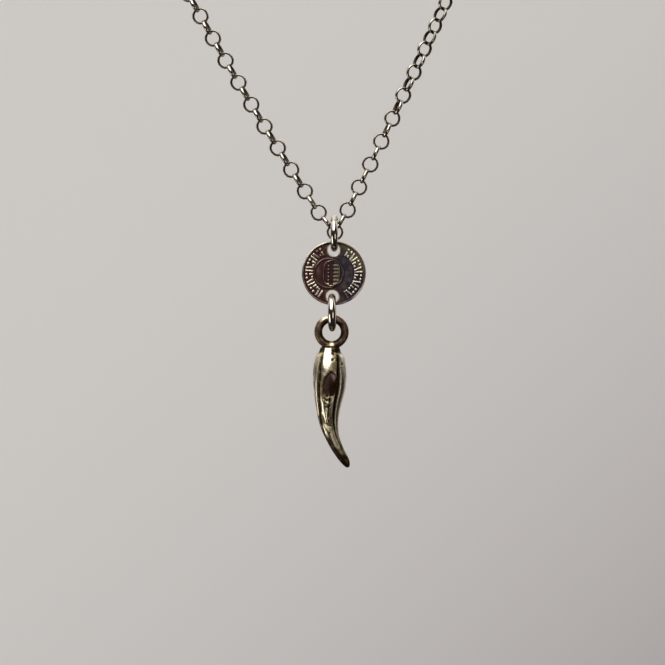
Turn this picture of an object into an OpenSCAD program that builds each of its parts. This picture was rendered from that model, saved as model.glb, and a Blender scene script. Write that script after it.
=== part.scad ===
// Cornucopia pendant necklace: a rolo chain that carries a plain ring, a stamped
// disc, a second ring and a cast horn. Millimetres. The origin is at the nape,
// where the chain rests on the back of a neck. +Z is up and the pendant faces -Y.

/* [Chain] */
// Outside diameter of one round link
link_od = 2.5; // [2.4:0.05:2.6]
// Radial thickness of a link's half-round wire
link_wall = 0.18; // [0.16:0.01:0.2]
// Width of a link's wire along the link's axis
link_width = 0.54; // [0.5:0.02:0.56]
// Clearance between one link and the next
link_gap = 0.125; // [0.1:0.005:0.14]
// Links in each strand, between the lowest link and the clasp (an odd number)
strand_links = 115; // [105:2:121]
// Colour of the chain and its clasp
chain_colour = "silver"; // [silver, gainsboro, darkgray]

/* [Hang of the chain] */
// Lean of the left and right strands from upright, at the pendant
low_lean = [35, 25.5]; // [20:0.5:40]
// Lean of the left and right strands where they have straightened
high_lean = [30, 21.8]; // [20:0.1:34]
// Length over which each strand straightens
lean_span = 45; // [30:5:50]
// Height above the pendant at which the loop starts to bend backwards
bend_start = 45; // [40:1:60]
// Radius of that bend, over the collar bones
bend_radius = 50; // [40:5:60]
// Angle of that bend
bend_angle = 75; // [60:5:80]
// Roll of the left and right strands about their own lines
strand_roll = [-10, 40]; // [-20:5:45]
// Height of the lowest link above where the strands' lines cross
lowest_rise = 0.65; // [0.4:0.05:0.9]
// Shift of the lowest link to the right of the pendant's plumb line
lowest_shift = 0.1; // [0:0.05:0.2]

/* [Rings] */
// Outside diameter of the ring between chain and disc
upper_ring_od = 5.7; // [5.6:0.1:5.8]
// Diameter of that ring's wire
upper_ring_wire = 1.1; // [1:0.05:1.15]
// Outside diameter of the ring between disc and horn
lower_ring_od = 5.9; // [5.7:0.1:6]
// Diameter of that ring's wire
lower_ring_wire = 1.2; // [1:0.05:1.25]
// Play between the lowest link and the upper ring that hangs round it
chain_seat = 0.3; // [0.2:0.05:0.4]
// Play between the upper ring and the disc
disc_seat = 0.15; // [0.15:0.05:0.25]
// Play between the disc and the lower ring
lower_ring_seat = 0.25; // [0.2:0.05:0.3]
// Play between the lower ring and the horn's own ring
horn_seat = 0.2; // [0.15:0.05:0.25]
// Lean of the upper and lower rings, with their tops to the left
ring_lean = [1.5, 2]; // [0:0.5:2]
// Turn of the upper and lower rings, with their fronts to the left
ring_turn = [0.5, 1]; // [0:0.5:2]

/* [Disc] */
// Diameter of the disc
disc_d = 9.75; // [9.5:0.25:10]
// Thickness of the disc with its relief
disc_t = 0.8; // [0.6:0.1:0.9]
// Height of the raised marks and rim
relief = 0.12; // [0.08:0.02:0.16]
// Width of the rim
rim_w = 0.22; // [0.15:0.01:0.3]
// Diameter of the two holes
hole_d = 1.86; // [1.8:0.02:1.9]
// Distance of each hole from the disc's centre
hole_offset = 3.55; // [3.5:0.05:3.6]
// Shift of the disc's outline to the right of its holes
disc_shift = 0.1; // [0:0.05:0.15]
// Marks on each side of the border
border_marks = 16; // [12:1:17]

/* [Horn] */
// Outside diameter of the ring that is cast with the horn
horn_ring_od = 5.25; // [5:0.05:5.5]
// Thickness of that ring
horn_ring_wire = 1.22; // [1.1:0.02:1.24]
// Half width of each lengthwise groove, as an angle round the horn
groove_spread = 13; // [10:1:16]

/* [Hidden] */
LEFT = 0;
RIGHT = 1;
UPPER = 0;
LOWER = 1;
degrees_per_radian = 180 / PI;

// Links: where two of them cross, the corners of their flat inner faces stay link_gap apart
link_r = link_od / 2;
link_hole_r = link_r - link_wall;
function short_of(radius) = sqrt(pow(radius, 2) - pow(link_width / 2, 2));
pitch = short_of(link_hole_r) + short_of(link_hole_r - link_gap);

// Clasp: a plain ring with a small lug, on the last link of either strand
clasp_od = 6;
clasp_wire = 1.1;
lug_od = 2.8;
lug_wire = 0.5;
clasp_weld = 0.25;
clasp_play = 0.2;
lug_at = clasp_od / 2 + lug_od / 2 - clasp_weld;
clasp_reach = clasp_od / 2 - clasp_wire - clasp_play + link_hole_r;
lug_reach = lug_od / 2 - lug_wire - clasp_play + link_hole_r;

// Where the strands start, so that two pitches reach from the lowest link to link 2
lowest = [lowest_shift, 0, lowest_rise];
lowest_reach = norm(lowest);
lowest_lean = atan2(lowest_shift, lowest_rise);
function side_sign(side) = side == RIGHT ? 1 : -1;
function strand_start(side) =
    let (apart = low_lean[side] - side_sign(side) * lowest_lean)
    lowest_reach * cos(apart)
    + sqrt(pow(2 * pitch, 2) - pow(lowest_reach * sin(apart), 2))
    - 2 * pitch;

// The flat loop: each strand is a slack arc and a straight run, then both join on the neck's circle
loop_length = strand_start(LEFT) + strand_start(RIGHT) + 2 * strand_links * pitch
    + clasp_reach + lug_at + lug_reach;
half_lean = (high_lean[LEFT] + high_lean[RIGHT]) / 2;
function turned(radius, from, to) = radius * [cos(to) - cos(from), sin(from) - sin(to)];
function slack_radius(side) = lean_span * degrees_per_radian / (low_lean[side] - high_lean[side]);
function slack_end(side) = turned(slack_radius(side), low_lean[side], high_lean[side]);
slack_width = slack_end(LEFT)[0] + slack_end(RIGHT)[0];
slack_step = slack_end(LEFT)[1] - slack_end(RIGHT)[1];
function run_back(side) =
    let (other = high_lean[1 - side])
    (slack_width * cos(other) - side_sign(side) * slack_step * sin(other)) / sin(2 * half_lean);
neck_r = (loop_length - 2 * lean_span + run_back(LEFT) + run_back(RIGHT))
    / (2 / tan(half_lean) + PI + 2 * half_lean / degrees_per_radian);
function straight_end(side) = lean_span + neck_r / tan(half_lean) - run_back(side);

// Lean from upright, and place on the flat loop, at a distance along a strand
function lean(side, along) =
    along < lean_span
    ? low_lean[side] - (low_lean[side] - high_lean[side]) * along / lean_span
    : high_lean[side] - max(0, along - straight_end(side)) * degrees_per_radian / neck_r;
function run_to(side, along) =
    (min(along, straight_end(side)) - lean_span) * [sin(high_lean[side]), cos(high_lean[side])];
function flat_place(side, along) =
    along < lean_span
    ? turned(slack_radius(side), low_lean[side], lean(side, along))
    : slack_end(side) + run_to(side, along) + turned(neck_r, high_lean[side], lean(side, along));

// The bend carries the upper part of the flat loop backwards over a round shoulder
bend_run = bend_radius * bend_angle / degrees_per_radian;
function bend(height) = min(bend_angle, max(0, height - bend_start) * degrees_per_radian / bend_radius);
function past_bend(height) = max(0, height - bend_start - bend_run);
function bent(height) =
    let (b = bend(height), past = past_bend(height))
    [bend_radius * (1 - cos(b)) + past * sin(b),
     min(height, bend_start) + bend_radius * sin(b) + past * cos(b)];
function place(side, along) =
    let (flat = flat_place(side, along), back_up = bent(flat[1]))
    [side_sign(side) * flat[0], back_up[0], back_up[1]];
function tangent(side, along) =
    let (l = lean(side, along), b = bend(flat_place(side, along)[1]))
    [side_sign(side) * sin(l), cos(l) * sin(b), cos(l) * cos(b)];
function facing(side, along) =
    let (b = bend(flat_place(side, along)[1])) [0, -cos(b), sin(b)];

// Each strand rolls between these distances, left then right, and rolls back out of sight
roll_from = [3, 14];
roll_to = [9, 34];
unroll_from = 60;
unroll_to = 100;
function part_way(value, from, to) = min(1, max(0, (value - from) / (to - from)));
function roll(side, along) =
    strand_roll[side] * part_way(along, roll_from[side], roll_to[side])
    * (1 - part_way(along, unroll_from, unroll_to));

function along_strand(side, i) = strand_start(side) + i * pitch;
clasp_along = along_strand(RIGHT, strand_links) + clasp_reach;
nape = place(RIGHT, clasp_along);

// Pendant, as heights from the lowest link's centre: each piece hangs a seat's play from the last
upper_ring_r = (upper_ring_od - upper_ring_wire) / 2;
lower_ring_r = (lower_ring_od - lower_ring_wire) / 2;
horn_ring_r = (horn_ring_od - horn_ring_wire) / 2;
hole_far = hole_offset + hole_d / 2;
upper_ring_z = link_r + chain_seat + upper_ring_wire / 2 - upper_ring_r;
disc_z = upper_ring_z - upper_ring_r + upper_ring_wire / 2 + disc_seat - hole_far;
lower_ring_z = disc_z - hole_far + lower_ring_seat + lower_ring_wire / 2 - lower_ring_r;
horn_ring_z = lower_ring_z - lower_ring_r + lower_ring_wire / 2 + horn_seat
    + horn_ring_wire / 2 - horn_ring_r;

// Disc relief
ground_t = disc_t - relief;
mark_in = 3.15;
mark_out = 4.35;
mark_w = 0.27;
mark_slant = 14;
pip_d = 0.36;
mark_step = 7.8;
circle_r = 2.28;
circle_shift = -0.8;
line_w = 0.12;
tablet_w = 2.5;
tablet_h = 3.95;
tablet_shift = -0.35;

// Horn: sections down from the centre of its ring
DROP = 0;
SHIFT = 1;
HALF_W = 2;
HALF_D = 3;
GROOVE = 4;
HORN_SECTIONS = [
    // drop, shift, half width, half depth, groove depth
    [1.75, 0, 1.25, 0.46, 0],
    [2.3, -0.14, 1.47, 0.85, 0],
    [3.05, -0.16, 1.66, 1.15, 0.02],
    [3.86, -0.13, 2.2, 1.65, 0.12],
    [5.61, -0.13, 2.51, 2.05, 0.26],
    [7.36, -0.1, 2.57, 2.15, 0.3],
    [9.11, -0.09, 2.38, 2.05, 0.3],
    [10.85, -0.18, 2.04, 1.8, 0.28],
    [12.6, -0.18, 1.68, 1.5, 0.24],
    [14.36, 0.03, 1.4, 1.2, 0.14],
    [16.11, 0.56, 1.13, 0.95, 0.06],
    [17.86, 1.41, 0.98, 0.8, 0.02],
    [18.73, 1.96, 0.93, 0.72, 0],
    [19.6, 2.49, 0.79, 0.6, 0],
    [20.3, 2.86, 0.48, 0.4, 0],
    [20.6, 2.99, 0.18, 0.15, 0],
];
// Angles of the two front grooves, from the right side by way of the front
FRONT_GROOVES = [
    // drop, right groove, left groove
    [3, 54, 126],
    [6.5, 57, 128],
    [10.7, 63, 132],
    [13.8, 62, 146],
    [16.5, 50, 150],
];
// The two grooves behind run straight
BACK_GROOVES = [236, 307];
HORN_SIDES = 36;
STEPS_PER_SECTION = 2;

function blend_rows(a, b, c, d, t) =
    0.5 * (2 * b + (c - a) * t + (2 * a - 5 * b + 4 * c - d) * t * t
    + (3 * b - a - 3 * c + d) * t * t * t);
last_section = len(HORN_SECTIONS) - 1;
function horn_section(at) =
    let (i = min(last_section - 1, floor(at)))
    blend_rows(HORN_SECTIONS[max(0, i - 1)], HORN_SECTIONS[i], HORN_SECTIONS[i + 1],
        HORN_SECTIONS[min(last_section, i + 2)], at - i);
function grooves(drop) = concat(
    [for (column = [1, 2]) lookup(drop, [for (row = FRONT_GROOVES) [row[DROP], row[column]]])],
    BACK_GROOVES);
function groove_share(angle, drop) =
    max([for (g = grooves(drop)) let (off = abs(angle - g) / groove_spread) off < 1 ? 1 - off : 0]);
function horn_point(section, angle) =
    let (cut = section[GROOVE] * groove_share(angle, section[DROP]))
    [section[SHIFT] + (section[HALF_W] - cut) * cos(angle),
     -(section[HALF_D] - cut) * sin(angle),
     -section[DROP]];

module hung(height) {
    translate([0, 0, lowest[2] + height] - nape)
        children();
}

module at_frame(point, along, face) {
    across = cross(face, along);
    multmatrix([
        [along[0], across[0], face[0], point[0] - nape[0]],
        [along[1], across[1], face[1], point[1] - nape[1]],
        [along[2], across[2], face[2], point[2] - nape[2]],
        [0, 0, 0, 1],
    ])
        children();
}

module wire_ring(od, wire) {
    rotate_extrude($fn = 72)
        translate([(od - wire) / 2, 0])
            circle(d = wire, $fn = 32);
}

// A half-round wire bent to a ring, with the wire's flat side towards the hole
module link() {
    bow_r = (pow(link_width / 2, 2) + pow(link_wall, 2)) / (2 * link_wall);
    rotate_extrude($fn = 36)
        intersection() {
            translate([link_r - bow_r, 0])
                circle(r = bow_r, $fn = 24);
            translate([link_hole_r, -link_width])
                square([link_wall, 2 * link_width]);
        }
}

module strand(side) {
    second = place(side, along_strand(side, 2));
    first_way = (second - lowest) / norm(second - lowest);
    at_frame((lowest + second) / 2, first_way, [0, -1, 0])
        rotate([90, 0, 0])
            link();
    for (i = [2 : strand_links]) {
        along = along_strand(side, i);
        at_frame(place(side, along), tangent(side, along), facing(side, along))
            rotate([roll(side, along) + 90 * (i % 2), 0, 0])
                link();
    }
}

module chain() {
    color(chain_colour) {
        at_frame(lowest, [0, 0, 1], [0, -1, 0])
            link();
        strand(LEFT);
        strand(RIGHT);
    }
}

module clasp() {
    lever_d = 0.9;
    lever_out = 0.7;
    to_lug = place(LEFT, along_strand(LEFT, strand_links) + lug_reach) - nape;
    color(chain_colour)
        at_frame(nape, to_lug / norm(to_lug), facing(RIGHT, clasp_along)) {
            wire_ring(clasp_od, clasp_wire);
            translate([lug_at, 0, 0])
                wire_ring(lug_od, lug_wire);
            translate([0, -(clasp_od - clasp_wire) / 2, 0])
                rotate([90, 0, 0])
                    cylinder(d = lever_d, h = clasp_wire / 2 + lever_out, $fn = 32);
        }
}

module jump_ring(which, height, od, wire) {
    color("gainsboro")
        hung(height)
            rotate([0, 90 - ring_lean[which], -ring_turn[which]])
                wire_ring(od, wire);
}

module upper_jump_ring() {
    jump_ring(UPPER, upper_ring_z, upper_ring_od, upper_ring_wire);
}

module lower_jump_ring() {
    jump_ring(LOWER, lower_ring_z, lower_ring_od, lower_ring_wire);
}

module oval(w, h) {
    square([w, h - w], center = true);
    for (end = [-1, 1])
        translate([0, end * (h - w) / 2])
            circle(d = w, $fn = 48);
}

module bar(from, to) {
    translate([from, -mark_w / 2])
        square([to - from, mark_w]);
}

module pip(at) {
    translate([at, 0])
        circle(d = pip_d, $fn = 24);
}

// A plain border up each side of the disc: long, slanted and short bars with pips between them
module border_mark(i) {
    middle = (mark_in + mark_out) / 2;
    if (i % 4 == 0)
        bar(mark_in, mark_out);
    else if (i % 4 == 1)
        translate([middle, 0])
            rotate(mark_slant)
                bar(mark_in - middle, mark_out - middle);
    else if (i % 4 == 2) {
        pip(mark_in + pip_d / 2);
        pip(mark_out - pip_d / 2);
    } else {
        bar(mark_in, middle);
        pip(mark_out - pip_d / 2);
    }
}

module disc_relief() {
    difference() {
        circle(d = disc_d, $fn = 96);
        circle(d = disc_d - 2 * rim_w, $fn = 96);
    }
    translate([circle_shift, 0])
        difference() {
            circle(r = circle_r, $fn = 72);
            circle(r = circle_r - line_w, $fn = 72);
        }
    translate([tablet_shift, 0])
        difference() {
            oval(tablet_w, tablet_h);
            oval(tablet_w - 2 * line_w, tablet_h - 2 * line_w);
        }
    for (side = [0, 180], i = [0 : border_marks - 1])
        rotate([0, 0, side + (i - (border_marks - 1) / 2) * mark_step])
            border_mark(side == 0 ? i : border_marks - 1 - i);
}

module disc_tag() {
    color("dimgray")
        hung(disc_z)
            rotate([90, 0, 0])
                translate([0, 0, -disc_t / 2])
                    difference() {
                        translate([disc_shift, 0, 0]) {
                            cylinder(d = disc_d, h = ground_t, $fn = 96);
                            translate([0, 0, ground_t / 2])
                                linear_extrude(height = disc_t - ground_t / 2)
                                    disc_relief();
                        }
                        for (end = [-1, 1])
                            translate([0, end * hole_offset, -disc_t])
                                cylinder(d = hole_d, h = 3 * disc_t, $fn = 48);
                    }
}

module horn_body() {
    rings = last_section * STEPS_PER_SECTION;
    sections = [for (i = [0 : rings]) horn_section(i / STEPS_PER_SECTION)];
    points = [
        for (s = sections, k = [0 : HORN_SIDES - 1]) horn_point(s, k * 360 / HORN_SIDES)
    ];
    walls = [
        for (i = [0 : rings - 1], k = [0 : HORN_SIDES - 1])
            let (a = i * HORN_SIDES + k, b = i * HORN_SIDES + (k + 1) % HORN_SIDES)
            each [[a, b + HORN_SIDES, b], [a, a + HORN_SIDES, b + HORN_SIDES]]
    ];
    top = [for (k = [0 : HORN_SIDES - 1]) k];
    bottom = [for (k = [HORN_SIDES - 1 : -1 : 0]) rings * HORN_SIDES + k];
    polyhedron(points, concat(walls, [top, bottom]));
}

module horn_charm() {
    color("darkkhaki")
        hung(horn_ring_z) {
            rotate([90, 0, 0])
                wire_ring(horn_ring_od, horn_ring_wire);
            horn_body();
        }
}

chain();
clasp();
upper_jump_ring();
disc_tag();
lower_jump_ring();
horn_charm();
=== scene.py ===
import math

import bmesh
import bpy
import numpy as np
from mathutils import Matrix, Vector


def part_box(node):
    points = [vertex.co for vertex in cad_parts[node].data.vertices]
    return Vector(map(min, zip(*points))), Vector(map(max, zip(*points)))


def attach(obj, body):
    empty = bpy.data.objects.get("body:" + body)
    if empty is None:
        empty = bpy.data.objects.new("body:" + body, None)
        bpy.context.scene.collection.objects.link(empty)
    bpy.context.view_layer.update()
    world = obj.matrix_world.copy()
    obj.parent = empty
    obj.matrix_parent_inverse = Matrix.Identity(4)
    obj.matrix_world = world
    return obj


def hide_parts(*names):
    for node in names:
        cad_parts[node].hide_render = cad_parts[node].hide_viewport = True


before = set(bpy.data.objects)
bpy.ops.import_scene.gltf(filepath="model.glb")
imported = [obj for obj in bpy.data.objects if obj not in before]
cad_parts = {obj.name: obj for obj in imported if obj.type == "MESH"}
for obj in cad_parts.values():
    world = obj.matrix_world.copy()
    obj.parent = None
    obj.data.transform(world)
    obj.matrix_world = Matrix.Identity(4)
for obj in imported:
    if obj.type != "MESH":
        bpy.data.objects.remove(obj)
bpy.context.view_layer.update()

mm = 0.001
plumbX = 11.9963 * mm  # the pendant hangs on this vertical line
plumbY = -106.436 * mm
weldDistance = 0.0005 * mm


def hexToLinear(code):
    channels = [int(code[i:i + 2], 16) / 255 for i in (1, 3, 5)]
    return [c / 12.92 if c <= 0.04045 else ((c + 0.055) / 1.055) ** 2.4 for c in channels] + [1.0]


def addNode(tree, kind, settings=None, inputs=None):
    node = tree.nodes.new(kind)
    for name, value in (settings or {}).items():
        setattr(node, name, value)
    for name, value in (inputs or {}).items():
        if isinstance(value, bpy.types.NodeSocket):
            tree.links.new(value, node.inputs[name])
        else:
            node.inputs[name].default_value = value
    return node


def addObject(name, data):
    made = bpy.data.objects.new(name, data)
    bpy.context.scene.collection.objects.link(made)
    return made


def finishPiece(piece, node, body, material):
    piece.data.materials.clear()
    piece.data.materials.append(material)
    piece.data.shade_smooth()
    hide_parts(node)
    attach(piece, body)
    print(f"{piece.name}: {len(piece.data.polygons)} faces")


def ease(value, low, high):
    t = np.clip((value - low) / (high - low), 0, 1)
    return t * t * (3 - 2 * t)


def bump(value, centre, half):
    return np.clip(1 - ((value - centre) / half) ** 2, 0, 1) ** 2


def between(value, start, full, fading, end):
    return ease(value, start, full) * (1 - ease(value, fading, end))


def readRows(items, what, width, kind=np.float32):
    # one row of numbers for each vertex, edge or triangle of a mesh
    values = np.empty(len(items) * width, kind)
    items.foreach_get(what, values)
    return values.reshape(-1, width)


def meshPoints(mesh):
    return readRows(mesh.vertices, "co", 3)


def meshEdges(mesh):
    return readRows(mesh.edges, "vertices", 2, np.int32)


def smoothed(values, edges, rounds, share=0.5):
    # each point moves part of the way to the middle of its neighbours
    count = len(values)
    ends = np.concatenate([edges[:, 0], edges[:, 1]])
    others = np.concatenate([edges[:, 1], edges[:, 0]])
    near = np.maximum(np.bincount(ends, minlength=count), 1)
    for _ in range(rounds):
        middle = np.stack([np.bincount(ends, column[others], count) / near for column in values.T], axis=1)
        values = values + (middle - values) * share
    return values


def softened(mesh, rounds):
    mesh.vertices.foreach_set("co", smoothed(meshPoints(mesh), meshEdges(mesh), rounds).ravel())
    mesh.update()


def recessOf(mesh, rounds, fullDepth):
    # above 0 in grooves and corners, below 0 on edges that rub
    points = meshPoints(mesh).astype(float)
    away = smoothed(points, meshEdges(mesh), rounds) - points
    normals = readRows(mesh.vertices, "normal", 3)
    return np.clip((away * normals).sum(axis=1) / fullDepth, -1, 1)


def keepValue(mesh, name, values):
    layer = mesh.attributes.get(name) or mesh.attributes.new(name, "FLOAT", "POINT")
    layer.data.foreach_set("value", np.asarray(values, np.float32))


def meshFrom(work, name):
    mesh = bpy.data.meshes.new(name)
    work.to_mesh(mesh)
    work.free()
    return mesh


def welded(mesh, faceOutwards):
    # joins points that lie on each other, and turns every face outwards if asked
    work = bmesh.new()
    work.from_mesh(mesh)
    bmesh.ops.remove_doubles(work, verts=work.verts, dist=weldDistance)
    if faceOutwards:
        bmesh.ops.recalc_face_normals(work, faces=work.faces)
    work.to_mesh(mesh)
    work.free()
    return mesh


def mergedCopy(node):
    return welded(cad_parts[node].data.copy(), faceOutwards=False)


def plainMesh(piece):
    # what the modifiers make, kept as the piece's own mesh
    made = bpy.data.meshes.new_from_object(piece.evaluated_get(bpy.context.evaluated_depsgraph_get()))
    piece.modifiers.clear()
    made.name = piece.name
    piece.data = made
    return piece


def remeshed(name, parts, voxel):
    # joins overlapping closed meshes into one cast body
    work = bmesh.new()
    for part in parts:
        work.from_mesh(part)
    piece = addObject(name, meshFrom(work, name))
    remesh = piece.modifiers.new("cast body", "REMESH")
    remesh.mode = "VOXEL"
    remesh.voxel_size = voxel
    return plainMesh(piece)


def grown(name, mesh, tree, sizes, values):
    # runs a geometry node tree on a mesh, with its inputs set by identifier
    piece = addObject(name, mesh)
    nodes = piece.modifiers.new(tree.name, "NODES")
    nodes.node_group = tree
    for label, value in values.items():
        nodes[sizes[label]] = value
    return plainMesh(piece)


cameraView = {
    "aim": (12.139 * mm, -106.436 * mm, -126.55 * mm),
    "distance": 400 * mm,
    "pictureWidth": 101.35 * mm,  # what the picture spans at the pendant
    "roll": 1.57,  # the photograph was taken leaning by this many degrees
    "sensor": 36,
    "nearest": 10 * mm,
}
lean = math.radians(cameraView["roll"])
lens = bpy.data.cameras.new("photo camera")
lens.sensor_width = cameraView["sensor"]
lens.lens = cameraView["sensor"] * cameraView["distance"] / cameraView["pictureWidth"]
lens.clip_start = cameraView["nearest"]
camera = addObject("photo camera", lens)
right = Vector((math.cos(lean), 0, math.sin(lean)))
up = Vector((-math.sin(lean), 0, math.cos(lean)))
camera.matrix_world = Matrix.Translation(
    Vector(cameraView["aim"]) + Vector((0, -cameraView["distance"], 0))
) @ Matrix((right, up, (0, -1, 0))).transposed().to_4x4()
bpy.context.scene.camera = camera
bpy.context.scene.view_settings.view_transform = "Standard"
print("camera placed")


studio = {
    "paperTopLeft": "#C7C5C3",
    "paperShadedLowRight": "#A5A2A2",
    "paperWay": 0.7,  # share of X, and of Z downwards, in the way the tone changes
    "paperReach": 0.31,  # metres from the picture's middle to where a tone is reached
    "paperFall": 2.4,  # above 1 most of the paper keeps its first tone
    "paperGlow": 0.55,
    "paperRoughness": 0.9,
    "paperShine": 0.2,
    "backdropRadius": 1.35,
    "backdropTop": 1.3,
    "backdropCove": 0.35,  # radius of the curve between wall and floor
    "backdropSpan": (-30, 240),  # degrees where the wall starts, and how far it goes round
    "backdropSteps": 48,
    "floorHeight": -1.15,
    "roomColour": "#261F20",  # what the metal sees in front of it
    "wallColour": "#C6C0B9",  # what its turned edges see behind it
    # where the pale wall begins and is full, along Y and up Z: low down it lies further back
    "paleParts": [((0.35, 0.75), (-0.5, -0.3)), ((-0.2, 0.1), (0.05, 0.3))],
    "ceiling": (0.25, 0.6, 1.9),  # from and to which Z it brightens, and how much
    "litHeight": -0.138,  # the lamps point at the horn
    "softboxes": [
        # name, place, width and height, power, colour
        ("overhead softbox", (-0.2, -0.7, 0.6), (1.15, 1.15), 13, "#FFFBF4"),
        ("low left card", (-0.105, -0.137, -0.187), (0.055, 0.085), 0.046, "#FFF6E6"),
        ("low right card", (0.088, -0.21, -0.157), (0.066, 0.07), 0.0165, "#F8EDDC"),
    ],
}


def addSoftbox(name, place, size, power, colour):
    lamp = bpy.data.lights.new(name, "AREA")
    lamp.shape = "RECTANGLE"
    lamp.size, lamp.size_y = size
    lamp.energy = power
    lamp.color = hexToLinear(colour)[:3]
    light = addObject(name, lamp)
    light.location = place
    middle = Vector((plumbX, plumbY, studio["litHeight"]))
    light.rotation_euler = (middle - light.location).to_track_quat("-Z", "Y").to_euler()
    light.visible_camera = False


def backdropMaterial():
    # matt paper sweep: a plain pale grey with painted shade that darkens it a little towards the lower
    # right
    material = bpy.data.materials.new("matt paper backdrop")
    material.use_nodes = True
    tree = material.node_tree
    shader = tree.nodes["Principled BSDF"]
    shader.inputs["Roughness"].default_value = studio["paperRoughness"]
    shader.inputs["Specular IOR Level"].default_value = studio["paperShine"]
    shader.inputs["Emission Strength"].default_value = studio["paperGlow"]
    place = addNode(tree, "ShaderNodeTexCoord").outputs["Object"]
    slope = studio["paperWay"]
    way = addNode(tree, "ShaderNodeVectorMath", {"operation": "DOT_PRODUCT"}, {
        0: place, 1: (slope, 0, -slope)})
    middle = slope * (cameraView["aim"][0] - cameraView["aim"][2])
    share = addNode(tree, "ShaderNodeMapRange", None, {
        "Value": way.outputs["Value"], "From Min": middle - studio["paperReach"],
        "From Max": middle + studio["paperReach"]})
    fall = addNode(tree, "ShaderNodeMath", {"operation": "POWER"}, {
        0: share.outputs["Result"], 1: studio["paperFall"]})
    # painted shade: the paper's tone falls from its top left colour to a darker one at the lower right
    tone = addNode(tree, "ShaderNodeMix", {"data_type": "RGBA"}, {
        0: fall.outputs[0], 6: hexToLinear(studio["paperTopLeft"]),
        7: hexToLinear(studio["paperShadedLowRight"])})
    tree.links.new(tone.outputs[2], shader.inputs["Base Color"])
    tree.links.new(tone.outputs[2], shader.inputs["Emission Color"])
    return material


def makeBackdrop():
    # a round wall behind and beside the necklace that curves into a floor far below it
    radius, floor, cove = studio["backdropRadius"], studio["floorHeight"], studio["backdropCove"]
    start, span = studio["backdropSpan"]
    steps = studio["backdropSteps"]
    profile = [(radius - cove, floor)]
    profile += [(radius - cove + cove * math.sin(a), floor + cove - cove * math.cos(a))
                for a in np.linspace(0.15, math.pi / 2, 8)]
    profile.append((radius, studio["backdropTop"]))
    work = bmesh.new()
    rows = []
    for k in range(steps + 1):
        turn = math.radians(start + span * k / steps)
        rows.append([work.verts.new((plumbX + r * math.cos(turn), plumbY + r * math.sin(turn), z))
                     for r, z in profile])
    middle = work.verts.new((plumbX, plumbY, floor))
    for a, b in zip(rows, rows[1:]):
        work.faces.new((middle, b[0], a[0]))
        for i in range(len(a) - 1):
            work.faces.new((a[i], b[i], b[i + 1], a[i + 1]))
    mesh = meshFrom(work, "paper backdrop")
    mesh.shade_smooth()
    mesh.materials.append(backdropMaterial())
    backdrop = addObject("paperBackdrop", mesh)
    backdrop.visible_glossy = False


def makeWorld():
    # around the metal: a pale wall behind, above and beside it, a dim warm room in front and below
    world = bpy.data.worlds.new("studio room")
    world.use_nodes = True
    tree = world.node_tree
    tree.nodes.clear()
    way = addNode(tree, "ShaderNodeTexCoord").outputs["Generated"]
    part = addNode(tree, "ShaderNodeSeparateXYZ", None, {0: way}).outputs
    parts = []
    for first, second in studio["paleParts"]:
        steps = [addNode(tree, "ShaderNodeMapRange", {"interpolation_type": "SMOOTHSTEP"}, {
            "Value": part[axis], "From Min": low, "From Max": high})
            for axis, low, high in (("Y", *first), ("Z", *second))]
        parts.append(addNode(tree, "ShaderNodeMath", {"operation": "MULTIPLY"}, {
            0: steps[0].outputs["Result"], 1: steps[1].outputs["Result"]}).outputs[0])
    share = addNode(tree, "ShaderNodeMath", {"operation": "MAXIMUM"}, {0: parts[0], 1: parts[1]})
    seen = addNode(tree, "ShaderNodeMix", {"data_type": "RGBA"}, {
        0: share.outputs[0], 6: hexToLinear(studio["roomColour"]), 7: hexToLinear(studio["wallColour"])})
    low, high, strength = studio["ceiling"]
    ceiling = addNode(tree, "ShaderNodeMapRange", {"interpolation_type": "SMOOTHSTEP"}, {
        "Value": part["Z"], "From Min": low, "From Max": high, "To Min": 1.0, "To Max": strength})
    metal = addNode(tree, "ShaderNodeBackground", None, {
        "Color": seen.outputs[2], "Strength": ceiling.outputs["Result"]})
    pale = addNode(tree, "ShaderNodeBackground", None, {"Color": hexToLinear(studio["paperTopLeft"])})
    rays = addNode(tree, "ShaderNodeLightPath")
    both = addNode(tree, "ShaderNodeMixShader", None, {
        0: rays.outputs["Is Camera Ray"], 1: metal.outputs[0], 2: pale.outputs[0]})
    addNode(tree, "ShaderNodeOutputWorld", None, {"Surface": both.outputs[0]})
    bpy.context.scene.world = world


makeBackdrop()
makeWorld()
for softbox in studio["softboxes"]:
    addSoftbox(*softbox)
print("studio lit")


finishSteps = {
    "noise": (0.3, 0.7),  # where most of a noise's values lie
    "thinTarnish": (0.0, 0.45),  # stain at which the warm tint begins and is full
    "thickOxide": (0.3, 0.95),
    "rubSize": 4,  # size of the rubbed patches, in grains
    "rub": 0.05,  # how much they change the roughness
    "grainHeight": 0.25,  # as a share of the grain's size
}


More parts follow.
